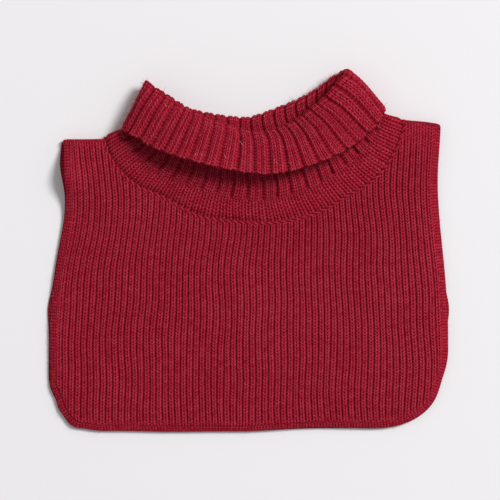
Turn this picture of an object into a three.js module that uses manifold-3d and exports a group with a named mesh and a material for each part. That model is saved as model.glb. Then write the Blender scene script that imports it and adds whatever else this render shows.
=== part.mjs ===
// A knitted neck warmer with a polo collar, lying flat on its back panel.
// Millimetres, +Z up. +Y runs from the hem to the collar's mouth, +X to the wearer's left.
// The origin is under the middle of the outline, on the surface that the object lies on.
//
// Two ribbed panels, front and back, lie one on the other, joined by a roll at each shoulder.
// A plain band finishes each panel's sides and hem. The collar is one knitted wall: it starts
// at the linked seam round the neckline, stands up towards +Y as a flattened tube, folds over
// at its crest and comes back down outside itself to a free edge.

import * as THREE from 'three';
import { mergeVertices } from 'three/addons/utils/BufferGeometryUtils.js';
import Module from 'manifold-3d';

const wasm = await Module();
wasm.setup();

// Knitted walls: each is corrugated by its ribs, so it is as deep as its cloth and both reliefs.
const GAP = 0.4; // between pieces that touch
const PANEL_CLOTH = 2.2;
const PANEL_RELIEF = 0.45; // of the narrow ribs, each way
const PANEL_RIBS = 62;
const COLLAR_CLOTH = 2.4;
const COLLAR_RELIEF = 0.7; // of the broad ribs, each way
const COLLAR_RIBS = 36; // all the way round

// Heights of the two panels' middles above the surface.
const PANEL_DEPTH = PANEL_CLOTH + 2 * PANEL_RELIEF;
const BACK_Z = PANEL_DEPTH / 2;
const FRONT_Z = BACK_Z + PANEL_DEPTH + GAP;

// The outline of the panels: each row is a height on the two sides.
const SIDES = [
  { y: 92, left: -126, right: 131 },
  { y: 70, left: -126, right: 129.7 },
  { y: 50, left: -125.4, right: 128.3 },
  { y: 26, left: -125, right: 129.4 },
  { y: -18, left: -132.2, right: 134 },
  { y: -54, left: -135.7, right: 136.5 },
];
const HEM = [
  { x: -95, y: -122.9 },
  { x: 0, y: -123 },
  { x: 42, y: -120.2 },
  { x: 82, y: -120.6 },
];
const CORNER_LEFT = 40; // radii of the hem's two corners
const CORNER_RIGHT = 53;
const CORNER_STEPS = 8;
const BACK_SHIFT = -0.8; // the back panel shows a little at the left side

// The heights at which a panel's ribs bend, and its cloth with them.
const RIB_BENDS = [92, 58, 26, -54, -125];

// The two shoulders: each row has the ends of its top edge, and how deep its roll is.
const SHOULDERS = {
  left: { outerX: -126.2, outerY: 75.6, innerX: -99.6, innerY: 75.9, roll: 4.6 },
  right: { outerX: 130.6, outerY: 86, innerX: 107.6, innerY: 88.2, roll: 7 },
};
const ROLL_SIDES = 10;

// The plain band round the panels.
const BAND_WIDTH = 5.5;
const BAND_SIDES = 8;

// How the cloth lifts off what is under it, towards the shoulders and at the left side.
const SHOULDER_LIFT = { from: 20, to: 84, front: 2.4, back: 0.9 };
const SIDE_LIFT = { x: -126, y: 50, reach: 22, height: 3.2 };

// Rings of the collar's wall, at the middle of the cloth, from the neck seam to the free edge.
// This table has the tube's two side folds, the share of the panels' own lift that the ring
// follows (rides) and the share of the full rib relief that it has (rib).
const RINGS = [
  { name: 'seam', leftX: -98, leftY: 76.8, rightX: 106, rightY: 88.6, rides: 1, rib: 0 },
  { name: 'base', leftX: -87, leftY: 79.2, rightX: 91.5, rightY: 89, rides: 1, rib: 0 },
  { name: 'tuck', leftX: -81.5, leftY: 81.6, rightX: 87.6, rightY: 91.4, rides: 0.4, rib: 1 },
  { name: 'stand', leftX: -73.5, leftY: 95, rightX: 77.3, rightY: 103, rides: 0, rib: 1 },
  { name: 'inner', leftX: -66.6, leftY: 110, rightX: 66.4, rightY: 115.4, rides: 0, rib: 1 },
  { name: 'crest', leftX: -67.8, leftY: 113.8, rightX: 67.2, rightY: 121.44, rides: 0, rib: 1 },
  { name: 'outer', leftX: -70.6, leftY: 111.5, rightX: 72, rightY: 118.5, rides: 0, rib: 1 },
  { name: 'edge', leftX: -84.8, leftY: 82.2, rightX: 91.4, rightY: 95, rides: 0, rib: 1 },
];
// The lowest point of each ring's two layers, and the exponents of the curves from there to
// the side folds: 1 is a straight line, 2 a quarter of an ellipse.
const LOWEST = {
  front: [
    { x: 10.7, y: 18.3, z: FRONT_Z, bowLeft: 1.88, bowRight: 1.78 },
    { x: 8, y: 33.2, z: 8.4, bowLeft: 1.7, bowRight: 1.65 },
    { x: 8, y: 41.6, z: 11.8, bowLeft: 1.6, bowRight: 1.6 },
    { x: 9, y: 60, z: 16.2, bowLeft: 1.5, bowRight: 1.5 },
    { x: 10, y: 75.6, z: 17.3, bowLeft: 1.3, bowRight: 1.3 },
    { x: 10.4, y: 78.2, z: 19.4, bowLeft: 1.29, bowRight: 1.27 },
    { x: 10.4, y: 75.6, z: 21.5, bowLeft: 1.3, bowRight: 1.3 },
    { x: 12.5, y: 51.3, z: 19.6, bowLeft: 1.44, bowRight: 1.6 },
  ],
  back: [
    { x: 4, y: 29, z: BACK_Z, bowLeft: 1.85, bowRight: 1.85 },
    { x: 4, y: 43, z: 2.9, bowLeft: 1.7, bowRight: 1.7 },
    { x: 3, y: 52, z: 4.6, bowLeft: 1.6, bowRight: 1.6 },
    { x: 0, y: 70, z: 6.1, bowLeft: 1.6, bowRight: 1.4 },
    { x: 0, y: 86.8, z: 6.2, bowLeft: 1.7, bowRight: 1.2 },
    { x: 0, y: 89.6, z: 4.1, bowLeft: 1.7, bowRight: 1.2 },
    { x: 0, y: 86.8, z: 2, bowLeft: 1.7, bowRight: 1.2 },
    { x: 4, y: 62, z: 2, bowLeft: 1.5, bowRight: 1.5 },
  ],
};
// Waves in the front layer: at is the share of the way from the left fold to the right one,
// up moves the wave towards the crest and out moves it away from the panels.
const WAVES = [
  { rings: ['seam'], at: 0.27, reach: 0.05, up: 2.8, out: 0 },
  { rings: ['seam'], at: 0.37, reach: 0.04, up: -1.4, out: 0 },
  { rings: ['seam'], at: 0.71, reach: 0.04, up: 1.6, out: 0 },
  { rings: ['seam'], at: 0.82, reach: 0.05, up: -1.4, out: 0 },
  { rings: ['edge'], at: 0.12, reach: 0.05, up: 1.8, out: 0 },
  { rings: ['edge'], at: 0.3, reach: 0.17, up: 0, out: 3 },
  { rings: ['inner', 'crest', 'outer'], at: 0.15, reach: 0.06, up: 1.4, out: 0 },
  { rings: ['inner', 'crest', 'outer'], at: 0.52, reach: 0.06, up: 1.2, out: 0 },
  { rings: ['inner', 'crest', 'outer'], at: 0.68, reach: 0.05, up: -1.6, out: 0 },
  { rings: ['inner', 'crest', 'outer'], at: 0.88, reach: 0.05, up: 1.4, out: 0 },
];
const COLLAR_START = 1.6; // how far up the wall the collar begins, clear of the seam's chain
const COLUMNS_PER_RIB = 4;

// The chain of linking stitches that joins the panels and the collar.
const SEAM_WIDTH = 2.2;
const SEAM_DEPTH = 2.9;
const SEAM_STEPS = 56;
const SEAM_SIDES = 6;

const knit = (colour) => new THREE.MeshStandardMaterial({ color: colour, roughness: 0.95, metalness: 0 });
const panelWool = knit(0x8c1a2c);
const collarWool = knit(0x941b2e);
const trimWool = knit(0x951d30);

// A geometry with every vertex sent to the place that a function gives for it.
function shaped(geometry, place) {
  const bare = geometry.clone();
  bare.deleteAttribute('normal');
  bare.deleteAttribute('uv');
  const merged = mergeVertices(bare);
  const position = merged.attributes.position;
  for (let i = 0; i < position.count; i += 1) {
    const to = place(new THREE.Vector3().fromBufferAttribute(position, i));
    position.setXYZ(i, to.x, to.y, to.z);
  }
  return merged;
}

function toManifold(geometry) {
  return new wasm.Manifold(new wasm.Mesh({
    numProp: 3,
    vertProperties: geometry.attributes.position.array,
    triVerts: new Uint32Array(geometry.index.array),
  }));
}

function toGeometry(solid) {
  const mesh = solid.getMesh();
  return new THREE.BufferGeometry()
    .setAttribute('position', new THREE.BufferAttribute(mesh.vertProperties, 3))
    .setIndex(new THREE.BufferAttribute(mesh.triVerts, 1));
}

// A closed mesh whose faces point inwards is turned round.
function facingOut(geometry) {
  if (toManifold(geometry).volume() > 0) return geometry;
  const index = geometry.index.array;
  for (let i = 0; i < index.length; i += 3) [index[i], index[i + 1]] = [index[i + 1], index[i]];
  return geometry;
}

const meshOf = (name, geometry, material) => {
  const mesh = new THREE.Mesh(facingOut(geometry), material);
  mesh.name = name;
  return mesh;
};

// The value of a column of a table at a place, on straight lines between its rows.
function between(table, key, at, column) {
  const rows = [...table].sort((a, b) => a[key] - b[key]);
  const next = rows.findIndex((row) => row[key] >= at);
  if (next === -1) return rows[rows.length - 1][column];
  if (next === 0) return rows[0][column];
  const [a, b] = [rows[next - 1], rows[next]];
  return THREE.MathUtils.mapLinear(at, a[key], b[key], a[column], b[column]);
}

// How far the cloth of a layer stands above its resting height.
function liftOf(layer, x, y) {
  const shoulder = THREE.MathUtils.smoothstep(y, SHOULDER_LIFT.from, SHOULDER_LIFT.to);
  const away = Math.hypot(x - SIDE_LIFT.x, y - SIDE_LIFT.y) / SIDE_LIFT.reach;
  const side = layer === 'front' ? SIDE_LIFT.height * Math.exp(-away * away) : 0;
  return SHOULDER_LIFT[layer] * shoulder + side;
}

// The outline at a distance inside the panel's edge, from the left shoulder round to the right one.
function outline(inset) {
  const left = SIDES.map((row) => new THREE.Vector2(row.left + inset, row.y));
  const right = SIDES.map((row) => new THREE.Vector2(row.right - inset, row.y)).reverse();
  const lowest = SIDES[SIDES.length - 1];
  const corner = (x, y, radius, turn) =>
    Array.from({ length: CORNER_STEPS + 1 }, (_, i) => {
      const angle = turn + (i / CORNER_STEPS) * Math.PI / 2;
      return new THREE.Vector2(x + radius * Math.cos(angle), y + radius * Math.sin(angle));
    });
  const leftCorner = corner(
    lowest.left + CORNER_LEFT, HEM[0].y + CORNER_LEFT, CORNER_LEFT - inset, Math.PI,
  );
  const rightCorner = corner(
    lowest.right - CORNER_RIGHT, HEM[3].y + CORNER_RIGHT, CORNER_RIGHT - inset, 1.5 * Math.PI,
  );
  const hem = HEM.slice(1, 3).map((row) => new THREE.Vector2(row.x, row.y + inset));
  return [...left, ...leftCorner, ...hem, ...rightCorner, ...right];
}

// Where a shoulder's roll ends and the panels begin, as the line's two ends.
function shoulderLine(side, below) {
  const { outerX, outerY, innerX, innerY, roll } = SHOULDERS[side];
  return [
    new THREE.Vector2(outerX, outerY - roll - below),
    new THREE.Vector2(innerX, innerY - roll - below),
  ];
}

// Half a ring of the collar, from one side fold to the other, front or back.
class HalfRing extends THREE.Curve {
  constructor(index, layer) {
    super();
    this.ring = RINGS[index];
    this.lowest = LOWEST[layer][index];
    this.heights = [LOWEST.front[index].z, LOWEST.back[index].z];
    this.layer = layer;
    this.waves = layer === 'front' ? WAVES.filter((wave) => wave.rings.includes(this.ring.name)) : [];
  }

  getPoint(t) {
    const { leftX, leftY, rightX, rightY, rides } = this.ring;
    const { x: lowX, y: lowY, bowLeft, bowRight } = this.lowest;
    const onLeft = t < 0.5;
    const [foldX, foldY, bow] = onLeft ? [leftX, leftY, bowLeft] : [rightX, rightY, bowRight];
    const across = Math.abs(Math.cos(t * Math.PI)) ** (2 / bow);
    const down = Math.abs(Math.sin(t * Math.PI)) ** (2 / bow);
    const x = lowX + (foldX - lowX) * across;
    const y = foldY + (lowY - foldY) * down;
    const frontZ = this.heights[0] + rides * liftOf('front', x, y);
    const backZ = this.heights[1] + rides * liftOf('back', x, y);
    const foldZ = (frontZ + backZ) / 2;
    // The tube's side fold is a quarter round, as deep as half of the tube.
    const radius = (frontZ - backZ) / 2;
    const inside = Math.min(Math.hypot(x - foldX, y - foldY) / radius, 1);
    const rise = radius * Math.sqrt(1 - (1 - inside) ** 2);
    const point = new THREE.Vector3(x, y, foldZ + (this.layer === 'front' ? rise : -rise));
    this.waves.forEach(({ at, reach, up, out }) => {
      const swell = Math.exp(-(((t - at) / reach) ** 2));
      point.y += up * swell;
      point.z += out * swell;
    });
    return point;
  }
}

const halves = RINGS.map((_, index) => ({
  front: new HalfRing(index, 'front'),
  back: new HalfRing(index, 'back'),
}));

// A point of a ring: around runs from 0 at the left fold, over the front, to 1 there again.
function ringPoint(index, around) {
  const share = THREE.MathUtils.euclideanModulo(around, 1) * 2;
  const { front, back } = halves[index];
  return share <= 1 ? front.getPointAt(share) : back.getPointAt(2 - share);
}

// The first ring of the collar proper, moved up the wall from the seam.
function wallPoint(index, around) {
  if (index > 0) return ringPoint(index, around);
  const start = ringPoint(0, around);
  const next = ringPoint(1, around);
  return start.lerp(next, COLLAR_START / start.distanceTo(next));
}

// The outward direction of the collar's wall, away from the neck on the standing part.
function wallNormal(index, around) {
  const step = 0.002;
  const round = wallPoint(index, around + step).sub(wallPoint(index, around - step));
  const up = wallPoint(Math.min(index + 1, RINGS.length - 1), around)
    .sub(wallPoint(Math.max(index - 1, 0), around));
  return round.cross(up).normalize();
}

// The collar: a closed ring whose section runs up one face of the cloth and down the other.
function makeCollar() {
  const columns = COLLAR_RIBS * COLUMNS_PER_RIB;
  const stations = RINGS.length;
  const big = 2;
  const ring = new THREE.TorusGeometry(big, 1, 2 * stations, columns);
  return shaped(ring, (v) => {
    const column = Math.round(Math.atan2(v.y, v.x) / (2 * Math.PI) * columns);
    const place = Math.round(
      THREE.MathUtils.euclideanModulo(Math.atan2(v.z, Math.hypot(v.x, v.y) - big) / Math.PI, 2) * stations,
    ) % (2 * stations);
    const outside = place < stations;
    const index = outside ? place : 2 * stations - 1 - place;
    const around = (column + 0.5) / columns;
    const phase = THREE.MathUtils.euclideanModulo(column, COLUMNS_PER_RIB);
    const relief = COLLAR_RELIEF * RINGS[index].rib * (phase < COLUMNS_PER_RIB / 2 ? 1 : -1);
    const offset = relief + (outside ? 1 : -1) * COLLAR_CLOTH / 2;
    return wallPoint(index, around).addScaledVector(wallNormal(index, around), offset);
  });
}

// The linked seam: a cord of oval section that follows the neckline all the way round.
function makeSeam() {
  const big = 2;
  const ring = new THREE.TorusGeometry(big, 1, SEAM_SIDES, SEAM_STEPS);
  return shaped(ring, (v) => {
    const around = Math.atan2(v.y, v.x) / (2 * Math.PI);
    const at = ringPoint(0, around);
    const normal = wallNormal(0, around);
    const up = ringPoint(1, around).sub(at);
    const sideways = up.addScaledVector(normal, -up.dot(normal)).normalize();
    return at
      .addScaledVector(sideways, (Math.hypot(v.x, v.y) - big) * SEAM_WIDTH / 2)
      .addScaledVector(normal, v.z * SEAM_DEPTH / 2);
  });
}

// What is cut out of a panel for the neck: its half of the seam's ring, moved outwards.
function neckHole(layer) {
  const clear = SEAM_WIDTH / 2 + GAP;
  const curve = halves[0][layer];
  const steps = SEAM_STEPS / 2;
  const edge = Array.from({ length: steps + 1 }, (_, i) => {
    const at = curve.getPointAt(i / steps);
    const along = curve.getTangentAt(i / steps);
    const out = new THREE.Vector2(along.y, -along.x).normalize();
    return new THREE.Vector2(at.x, at.y).addScaledVector(out, clear);
  });
  const above = 130;
  const shape = new THREE.Shape([
    ...edge,
    new THREE.Vector2(edge[steps].x, above),
    new THREE.Vector2(edge[0].x, above),
  ]);
  return upright(shape).translate([layer === 'back' ? -BACK_SHIFT : 0, 0, 0]);
}

// A flat shape made a solid that is taller than the object.
function upright(shape) {
  const tall = 60;
  const solid = new THREE.ExtrudeGeometry(shape, { depth: tall, bevelEnabled: false });
  solid.translate(0, 0, -tall / 2);
  return toManifold(shaped(solid, (v) => v));
}

// A panel: a corrugated sheet with a rib line at every column, cut to its outline and neckline.
function makePanel(layer) {
  const inset = BAND_WIDTH + GAP;
  const height = layer === 'front' ? FRONT_Z : BACK_Z;
  const bends = RIB_BENDS.length - 1;
  const sheet = new THREE.BoxGeometry(1, bends, 1, PANEL_RIBS * 2, bends, 1);
  const cloth = shaped(sheet, (v) => {
    const column = Math.round((v.x + 0.5) * PANEL_RIBS * 2);
    const y = RIB_BENDS[Math.round(bends / 2 - v.y)];
    const left = between(SIDES, 'y', y, 'left') + inset - 0.5;
    const right = between(SIDES, 'y', y, 'right') - inset + 0.5;
    const x = THREE.MathUtils.lerp(left, right, v.x + 0.5);
    const relief = PANEL_RELIEF * (column % 2 ? 1 : -1);
    const z = height + liftOf(layer, x, y) + relief + v.z * PANEL_CLOTH;
    return new THREE.Vector3(x, y, z);
  });
  const [leftOuter, leftInner] = shoulderLine('left', GAP);
  const [rightOuter, rightInner] = shoulderLine('right', GAP);
  const edge = outline(inset).filter(
    (p) => p.y < (p.x < 0 ? leftOuter.y : rightOuter.y) - 1,
  );
  leftOuter.x = between(SIDES, 'y', leftOuter.y, 'left') + inset;
  rightOuter.x = between(SIDES, 'y', rightOuter.y, 'right') - inset;
  const shape = new THREE.Shape([leftOuter, ...edge, rightOuter, rightInner, leftInner]);
  const panel = toManifold(cloth).intersect(upright(shape)).subtract(neckHole(layer));
  return toGeometry(panel);
}

// The band round a panel's sides and hem: a strip of rounded section along the outline.
function makeBand(layer) {
  const height = layer === 'front' ? FRONT_Z : BACK_Z;
  const [leftTop] = shoulderLine('left', GAP);
  const [rightTop] = shoulderLine('right', GAP);
  const inset = BAND_WIDTH / 2;
  leftTop.x = between(SIDES, 'y', leftTop.y, 'left') + inset;
  rightTop.x = between(SIDES, 'y', rightTop.y, 'right') - inset;
  const middle = outline(inset).filter((p) => p.y < (p.x < 0 ? leftTop.y : rightTop.y) - 1);
  const path = [leftTop, ...middle, rightTop];
  const steps = path.length - 1;
  const flats = Math.PI / BAND_SIDES; // turns the section so that it has a flat top and bottom
  const strip = new THREE.CylinderGeometry(1, 1, steps, BAND_SIDES, steps, false, flats);
  const half = new THREE.Vector2(BAND_WIDTH / 2, PANEL_DEPTH / 2);
  return shaped(strip, (v) => {
    const at = Math.round(v.y + steps / 2);
    const before = path[Math.max(at - 1, 0)];
    const after = path[Math.min(at + 1, steps)];
    const along = after.clone().sub(before).normalize();
    const out = new THREE.Vector2(along.y, -along.x);
    // The round section is pushed out to a square one with cut corners.
    const full = 1 / Math.max(Math.abs(v.x), Math.abs(v.z), 0.5);
    const flat = path[at].clone().addScaledVector(out, v.x * full * half.x);
    const z = height + liftOf(layer, flat.x, flat.y) + v.z * full * half.y;
    return new THREE.Vector3(flat.x, flat.y, z);
  });
}

// The roll at a shoulder: a short bolster that joins the two panels' top edges.
function makeShoulder(side) {
  const { outerX, outerY, innerX, innerY, roll } = SHOULDERS[side];
  const bolster = new THREE.CylinderGeometry(1, 1, 1, ROLL_SIDES, 3);
  return shaped(bolster, (v) => {
    const share = v.y + 0.5;
    const x = THREE.MathUtils.lerp(outerX, innerX, share);
    const top = THREE.MathUtils.lerp(outerY, innerY, share);
    const y = top - roll / 2;
    const bottomZ = BACK_Z - PANEL_DEPTH / 2 + liftOf('back', x, y);
    const topZ = FRONT_Z + PANEL_DEPTH / 2 + liftOf('front', x, y);
    const z = (bottomZ + topZ) / 2 + v.z * (topZ - bottomZ) / 2;
    return new THREE.Vector3(x, y + v.x * roll / 2, z);
  });
}

const neckWarmer = new THREE.Group();
const backLayer = new THREE.Group();
backLayer.position.x = BACK_SHIFT;
backLayer.add(
  meshOf('back_panel', makePanel('back'), panelWool),
  meshOf('back_edge_band', makeBand('back'), trimWool),
);
neckWarmer.add(
  backLayer,
  meshOf('front_panel', makePanel('front'), panelWool),
  meshOf('front_edge_band', makeBand('front'), trimWool),
  meshOf('shoulder_roll_left', makeShoulder('left'), trimWool),
  meshOf('shoulder_roll_right', makeShoulder('right'), trimWool),
  meshOf('neck_seam', makeSeam(), trimWool),
  meshOf('collar', makeCollar(), collarWool),
);

export default neckWarmer;
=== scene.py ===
# %% [markdown]
# # A knitted neck warmer, laid flat
#
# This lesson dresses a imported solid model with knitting. The garment is a polo collar with a
# short bib in front and behind, in red wool, and it lies flat on its back bib, seen from above.
# Nearly every step is the same idea: start from a plain grid, and send its rows and columns
# along the courses and wales of the knitting.

import math

import bmesh
import bpy
import numpy as np
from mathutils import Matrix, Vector


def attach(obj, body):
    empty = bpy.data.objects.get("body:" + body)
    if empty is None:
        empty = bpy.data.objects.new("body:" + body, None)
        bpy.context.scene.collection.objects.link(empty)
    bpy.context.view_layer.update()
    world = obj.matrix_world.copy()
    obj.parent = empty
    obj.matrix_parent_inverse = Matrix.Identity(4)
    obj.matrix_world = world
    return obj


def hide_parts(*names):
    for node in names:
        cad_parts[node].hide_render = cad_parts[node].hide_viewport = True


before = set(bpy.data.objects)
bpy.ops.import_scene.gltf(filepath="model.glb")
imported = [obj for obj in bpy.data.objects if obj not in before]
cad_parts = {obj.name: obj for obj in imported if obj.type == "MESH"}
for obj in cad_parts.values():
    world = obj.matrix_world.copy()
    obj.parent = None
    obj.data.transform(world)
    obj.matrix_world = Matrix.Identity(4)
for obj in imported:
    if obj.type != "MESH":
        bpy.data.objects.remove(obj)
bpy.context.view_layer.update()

# %% [markdown]
# ## The sizes of the garment
#
# In millimetres: the bibs' outline, the depth of the cloth, and the rings that the collar's
# wall passes on its way up from the neck seam, over the crest and down to its free edge. They
# keep within a few millimetres of the solid model, which is simpler: its collar has fewer ribs
# and a lower free edge, and its shoulder rolls are wider.

# %% Sizes shared by all pieces
MM = 0.001
GAP = 0.4
PANEL_CLOTH = 2.2
PANEL_RELIEF = 0.45
PANEL_RIBS = 62
COLLAR_CLOTH = 2.4
COLLAR_RIBS = 40
FRONT_RIBS = 21  # of them on the front half
PANEL_DEPTH = PANEL_CLOTH + 2 * PANEL_RELIEF
BACK_Z = PANEL_DEPTH / 2
FRONT_Z = BACK_Z + PANEL_DEPTH + GAP
LAYER_Z = {"front": FRONT_Z, "back": BACK_Z}
BACK_SHIFT = -0.8
# where the back bib's sides stand out past the front's: side, y, reach, how far
BACK_SHOWS = [("left", -39, 11, 1.9), ("right", -39, 11, 2.2), ("left", 58, 13, 2.2)]
BAND_WIDTH = 5.5
COURSE = 2.15  # height of one row of stitches

# Each row is a height with the outline's left and right side there.
SIDE_Y = np.array([-54, -18, 26, 50, 70, 92.0])
SIDE_LEFT = np.array([-135.3, -132.4, -124, -125, -126.3, -126.3])
SIDE_RIGHT = np.array([136.5, 134.4, 129.7, 128.7, 130.3, 131.2])
HEM = [(-95, -123.2), (0, -123.5), (42, -120.9), (82, -121.2)]
CORNER_LEFT = 41
CORNER_RIGHT = 54
CORNER_SQUARE = 2.45  # 2 is a circle
CORNER_SHAPE = [(208, 9, -1.7), (236, 7, 1.9), (336, 13, -1.9)]  # degrees, reach, out
SIDE_LIFT = (-126, 52, 15, 9.6)  # x, y, reach, height
CORNER_SINK = (-127, 77, 13)  # x, y, reach
SHOULDERS = {
    "left": {"outer": (-126.2, 75.6), "inner": (-99.6, 75.9)},
    "right": {"outer": (130.6, 86), "inner": (107.6, 89)},
}

# name, left fold x y, right fold x y, share of the panels' lift
RINGS = [
    ("seam", -98, 76.8, 106, 88.6, 1),
    ("base", -87, 81, 91.5, 92.4, 1),
    ("tuck", -81.5, 83, 87.6, 94.4, 0.4),
    ("stand", -73.5, 95, 77.3, 103, 0),
    ("inner", -68, 109.4, 66.4, 115.4, 0),
    ("crest", -69.8, 112.6, 67.2, 121.44, 0),
    ("outer", -71.2, 109.2, 71.6, 118.2, 0),
    ("edge", -84.8, 82.2, 92, 96, 0),
]
# lowest point x y z and the bows to the left and right fold, ring by ring
LOWEST = {
    "front": [
        (10.7, 18.3, FRONT_Z, 1.88, 1.78),
        (8, 33.2, 7.6, 1.7, 1.65),
        (8, 41.6, 9.6, 1.6, 1.6),
        (9, 60, 15, 1.5, 1.5),
        (10, 75.6, 17.4, 1.3, 1.3),
        (10.4, 78.2, 19.8, 1.29, 1.27),
        (10.4, 75.6, 22.2, 1.3, 1.3),
        (12.5, 51.3, 24.6, 1.44, 1.6),
    ],
    "back": [
        (4, 29, BACK_Z, 1.85, 1.85),
        (4, 43, 2.9, 1.7, 1.7),
        (3, 52, 4.6, 1.6, 1.6),
        (0, 70, 6.1, 1.6, 1.4),
        (0, 86.8, 6.2, 1.7, 1.2),
        (0, 89.6, 4.1, 1.7, 1.2),
        (0, 86.8, 2, 1.7, 1.2),
        (4, 62, 2, 1.5, 1.5),
    ],
}
# how far each ring sinks towards its folds, how much of that at the left and at the right one,
# and from how far off
SINK = [0, 0, 1, 2, 4, 5, 6, 6.5]
SINK_SHARE = (1, 0.6)
SINK_REACH = 0.2
# half, rings, where along it, reach, towards the crest, away from the panels
WAVES = [
    ("front", "seam", 0.27, 0.05, 2.8, 0),
    ("front", "seam", 0.37, 0.04, -1.4, 0),
    ("front", "seam", 0.71, 0.04, 1.6, 0),
    ("front", "seam", 0.82, 0.05, -1.4, 0),
    ("front", "edge", 0.12, 0.05, 1.8, 0),
    ("front", "edge", 0.3, 0.17, 0, 4),
    ("front", "edge", 0.13, 0.065, 0, -1.5),
    ("front", "edge", 0.6, 0.14, 0, 3.4),
    ("front", "inner crest outer", 0.14, 0.09, 3.4, 0),
    ("front", "inner crest outer", 0.045, 0.04, 2.2, 0),
    ("front", "inner crest outer", 0.52, 0.06, 1.2, 0),
    ("front", "inner crest outer", 0.68, 0.05, -1.6, 0),
    ("front", "inner crest outer", 0.88, 0.05, 1.4, 0),
    ("back", "inner crest outer", 0.88, 0.08, 3.2, 0),
]
print("panel", PANEL_DEPTH, "mm deep,", PANEL_RIBS, "ribs; collar", COLLAR_RIBS, "ribs")

# %% [markdown]
# ## Small irregularities
#
# Knitting is never quite even: ribs wander and the cloth swells and sinks. A few slow sine
# waves with seeded phases give that, and the same cloth on every run.

# %% Seeded waves, a smooth step and a peak
TURN = 2 * np.pi
RANDOM = np.random.default_rng(8164)


def wander(waves=5, slowest=0.6, fastest=3.0):
    """A smooth function of two directions with values around -1 to 1."""
    turn = RANDOM.uniform(0, TURN, waves)
    rate = RANDOM.uniform(slowest, fastest, waves)
    phase = RANDOM.uniform(0, TURN, waves)

    def value(a, b):
        parts = [
            np.sin(r * (a * np.cos(t) + b * np.sin(t)) + p)
            for t, r, p in zip(turn, rate, phase)
        ]
        return sum(parts) / math.sqrt(waves)

    return value


def smooth(value, low, high):
    share = np.clip((value - low) / (high - low), 0, 1)
    return share * share * (3 - 2 * share)


def in_turn(number):
    """1 for even numbers and -1 for odd ones."""
    return np.where(number % 2 == 0, 1, -1)


def peak(value, at, reach):
    """1 at one value, falling softly to 0 on both sides of it."""
    return np.exp(-(((value - at) / reach) ** 2))


print("waves of the cloth at the origin:", round(float(wander()(0, 0)), 3))

# %% [markdown]
# ## From a grid to a knitted surface
#
# A grid primitive has the right connections for knitting already: columns for the wales and
# rows for the courses. Modelling each loop of yarn would take millions of faces, and a bump
# map alone would leave the outline smooth. So each rib gets a few columns and each course two
# rows, moved to where the yarn stands high or lies low. Welding its opposite sides rolls a
# grid into a tube or a ring.

# %% Grid helper
WELD = 2e-6


def in_scene(name, data):
    made = bpy.data.objects.new(name, data)
    bpy.context.scene.collection.objects.link(made)
    return made


def knitted(name, columns, rows, place, stitches, caps=False, ends=()):
    """A grid of columns by rows, each point sent where place() says, welded and closed.

    stitches() gives each point's place in the stitch map, and how high its yarn stands.
    The wool paints shade where the yarn lies low.
    Ends are triangles, three columns each, that close both the first and the last row.
    """
    bm = bmesh.new()
    bmesh.ops.create_grid(bm, x_segments=columns, y_segments=rows, size=0.5)
    mesh = bpy.data.meshes.new(name)
    bm.to_mesh(mesh)
    flat = np.empty(len(mesh.vertices) * 3, np.float32)
    mesh.vertices.foreach_get("co", flat)
    flat = flat.reshape(-1, 3)
    column = np.rint((flat[:, 0] + 0.5) * columns).astype(int)
    row = np.rint((flat[:, 1] + 0.5) * rows).astype(int)
    spots = place(column, row)
    spots[:, 2] = np.maximum(spots[:, 2], 0)
    mesh.vertices.foreach_set("co", (spots * MM).astype(np.float32).ravel())
    across, along, height_for_shade = stitches(column, row)
    corner = np.empty(len(mesh.loops), np.int32)
    mesh.loops.foreach_get("vertex_index", corner)
    at_corners = np.stack([across[corner], along[corner]], 1).astype(np.float32)
    mesh.uv_layers.new(name="stitches").data.foreach_set("uv", at_corners.ravel())
    depth = mesh.attributes.new("height_for_shade", "FLOAT", "POINT")
    depth.data.foreach_set("value", np.clip(height_for_shade, 0, 1).astype(np.float32))
    bm.clear()
    bm.from_mesh(mesh)
    bm.verts.ensure_lookup_table()
    for end in (0, rows):
        points = {c: bm.verts[k] for k, c in enumerate(column.tolist()) if row[k] == end}
        for triangle in ends:
            bm.faces.new([points[c] for c in triangle])
    bmesh.ops.remove_doubles(bm, verts=bm.verts, dist=WELD)
    if caps:
        bmesh.ops.holes_fill(bm, edges=[e for e in bm.edges if e.is_boundary], sides=0)
    bmesh.ops.recalc_face_normals(bm, faces=bm.faces)
    bm.to_mesh(mesh)
    volume = bm.calc_volume() / MM**3
    open_edges = sum(1 for e in bm.edges if not e.is_manifold)
    bm.free()
    for polygon in mesh.polygons:
        polygon.use_smooth = True
    piece = in_scene(name, mesh)
    low, high = (f([corner[2] for corner in piece.bound_box]) / MM for f in (min, max))
    print(f"{name}: {len(mesh.polygons)} faces, {volume:.0f} mm3, {open_edges} open edges,")
    print(f"    {low:.2f} to {high:.2f} mm above the floor")
    return piece


# %% [markdown]
# ## How the cloth lies
#
# Towards the shoulders both bibs lift a little, because the seams that join them are stiff.
# The front bib's left side stands off the surface and casts the shadow there.

# %% Outline and lift
SHOULDER_LIFT = {"front": 2.4, "back": 0.9}
LIFT_FROM, LIFT_TO = 20, 84  # heights on the bib between which the shoulders lift
SETTLE = {"front": 0.9, "back": 0}  # how far the cloth sinks towards its edge
HEM_ENDS = (-88, 78)  # where the rounded corners begin


def lift(layer, x, y):
    side_x, side_y, side_reach, height = SIDE_LIFT
    corner_x, corner_y, corner_reach = CORNER_SINK
    raised = height * peak(np.hypot(x - side_x, y - side_y), 0, side_reach) * (layer == "front")
    corner = peak(np.hypot(x - corner_x, y - corner_y), 0, corner_reach)
    sunk = (SHOULDER_LIFT[layer] + SETTLE[layer]) * corner
    return SHOULDER_LIFT[layer] * smooth(y, LIFT_FROM, LIFT_TO) + raised - sunk


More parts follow.
